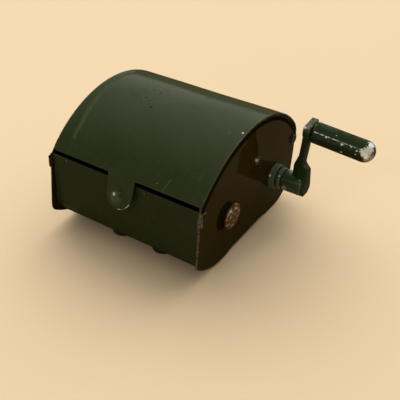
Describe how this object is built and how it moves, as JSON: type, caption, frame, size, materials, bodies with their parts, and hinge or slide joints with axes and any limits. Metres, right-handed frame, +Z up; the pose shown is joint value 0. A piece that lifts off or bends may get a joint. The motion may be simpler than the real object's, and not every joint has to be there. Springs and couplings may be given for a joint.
{
  "type": "desk pencil sharpener",
  "caption": "Hand-cranked desk pencil sharpener: sheet-steel case with a curved hinged lid, geared helical cutters inside, and a crank with a turning handle.",
  "frame": {"origin": "midway between the four feet, on the surface that they stand on", "axes": "+X towards the crank, along the shaft; +Y towards the hinge at the back; +Z up"},
  "size_m": [0.1293, 0.0963, 0.0614],
  "materials": {
    "enamel_plate": "gloss enamel, thin at the edges",
    "enamel_body": "gloss enamel, chipped",
    "enamel_lid": "gloss enamel, chipped and scratched",
    "enamel_small": "gloss enamel over steel",
    "enamel_crank": "gloss enamel, worn brown at the edges",
    "enamel_handle": "gloss enamel, worn to bright metal at the end",
    "rusty_steel": "bare steel with brown rust",
    "inner_steel": "bare, oily",
    "bare_pin": "bare, scuffed",
    "cutter_steel": "ground, graphite-stained",
    "cast_grey": "as cast, oily",
    "brass_washer": "dull",
    "foot_rubber": "matte, dusty"
  },
  "bodies": {
    "case": {"right_end_plate": "enamel_plate", "left_end_plate": "enamel_plate", "body_wrap": "enamel_body", "hinge_rod": "enamel_small", "tie_bolt": "rusty_steel", "tie_nut": "rusty_steel", "tie_washer": "rusty_steel", "tie_spacer": "inner_steel", "gear_rivet": "enamel_small", "bearing_bush": "enamel_small", "bush_nut": "inner_steel", "ring_gear": "cast_grey", "pencil_guide": "enamel_small", "guide_nut": "inner_steel", "rubber_feet": "foot_rubber"},
    "lid": {"lid": "enamel_lid"},
    "crank": {"drive_shaft": "inner_steel", "thrust_washer": "brass_washer", "crank_collar": "enamel_small", "crank_arm": "enamel_crank", "cross_pin": "bare_pin", "handle_pin": "inner_steel", "cutter_carrier": "cast_grey", "axle_upper": "inner_steel", "axle_lower": "inner_steel"},
    "grip": {"handle": "enamel_handle", "handle_bush": "inner_steel"},
    "upper_cutter": {"cutter_upper": "cutter_steel"},
    "lower_cutter": {"cutter_lower": "cutter_steel"}
  },
  "joints": [
    {"name": "lid_hinge", "type": "hinge", "parent": "case", "child": "lid", "pos_m": [0, 0.0416, 0.03373], "axis": [-1, 0, 0], "range_deg": [0, 100]},
    {"name": "crank_turn", "type": "hinge", "parent": "case", "child": "crank", "pos_m": [0, 0.0232, 0.0216], "axis": [1, 0, 0], "continuous": true},
    {"name": "grip_spin", "type": "hinge", "parent": "crank", "child": "grip", "pos_m": [0.0546, 0.0232, 0.0513], "axis": [0.9978, 0, -0.0663], "continuous": true},
    {"name": "upper_cutter_spin", "type": "hinge", "parent": "crank", "child": "upper_cutter", "pos_m": [0.0225, 0.0232, 0.0275], "axis": [0.9833, 0, -0.1822], "continuous": true},
    {"name": "lower_cutter_spin", "type": "hinge", "parent": "crank", "child": "lower_cutter", "pos_m": [0.0225, 0.0232, 0.0157], "axis": [0.9833, 0, 0.1822], "continuous": true}
  ],
  "couplings": [
    {"joint": "upper_cutter_spin", "follows": "crank_turn", "ratio": -2.25},
    {"joint": "lower_cutter_spin", "follows": "crank_turn", "ratio": -2.25}
  ]
}
